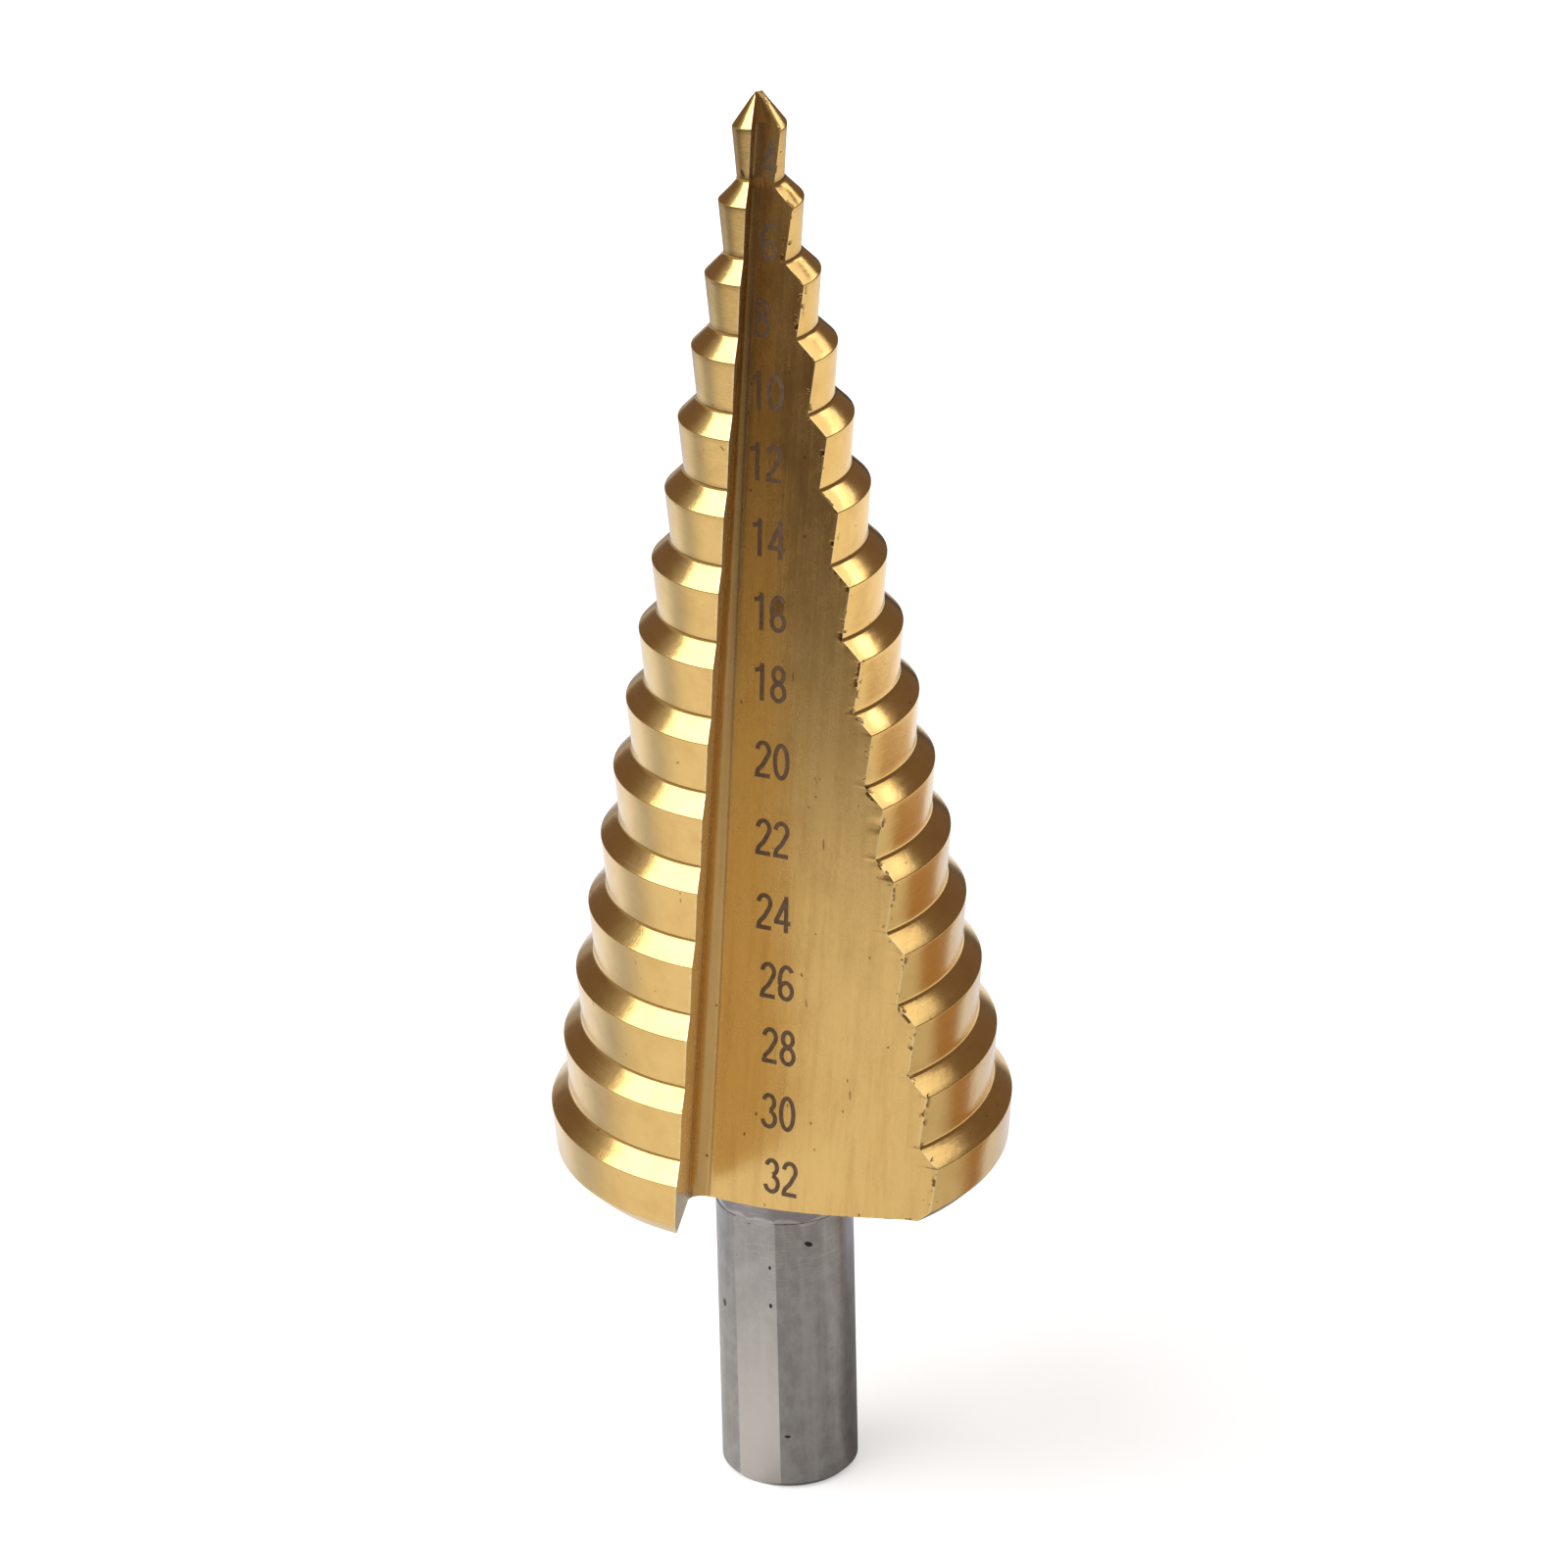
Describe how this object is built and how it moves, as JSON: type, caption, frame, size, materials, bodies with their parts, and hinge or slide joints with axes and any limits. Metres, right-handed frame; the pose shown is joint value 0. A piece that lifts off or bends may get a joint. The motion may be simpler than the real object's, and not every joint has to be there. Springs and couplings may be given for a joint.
{
  "type": "step drill",
  "caption": "Stepped cone drill bit with straight flutes, relieved cutting lands, a short point and a round shank with one flat.",
  "frame": {"origin": "centre of the shank's end face", "axes": "+Z along the axis from the shank to the point; the rake face of the front flute runs along -Y"},
  "size_m": [0.0316, 0.0302, 0.1012],
  "materials": {
    "coated_head": "gold-coloured hard coating over ground tool steel",
    "bare_shank": "bare ground tool steel",
    "size_marks": "dark laser marking"
  },
  "bodies": {
    "root": {"step_drill": "coated_head"}
  },
  "joints": []
}
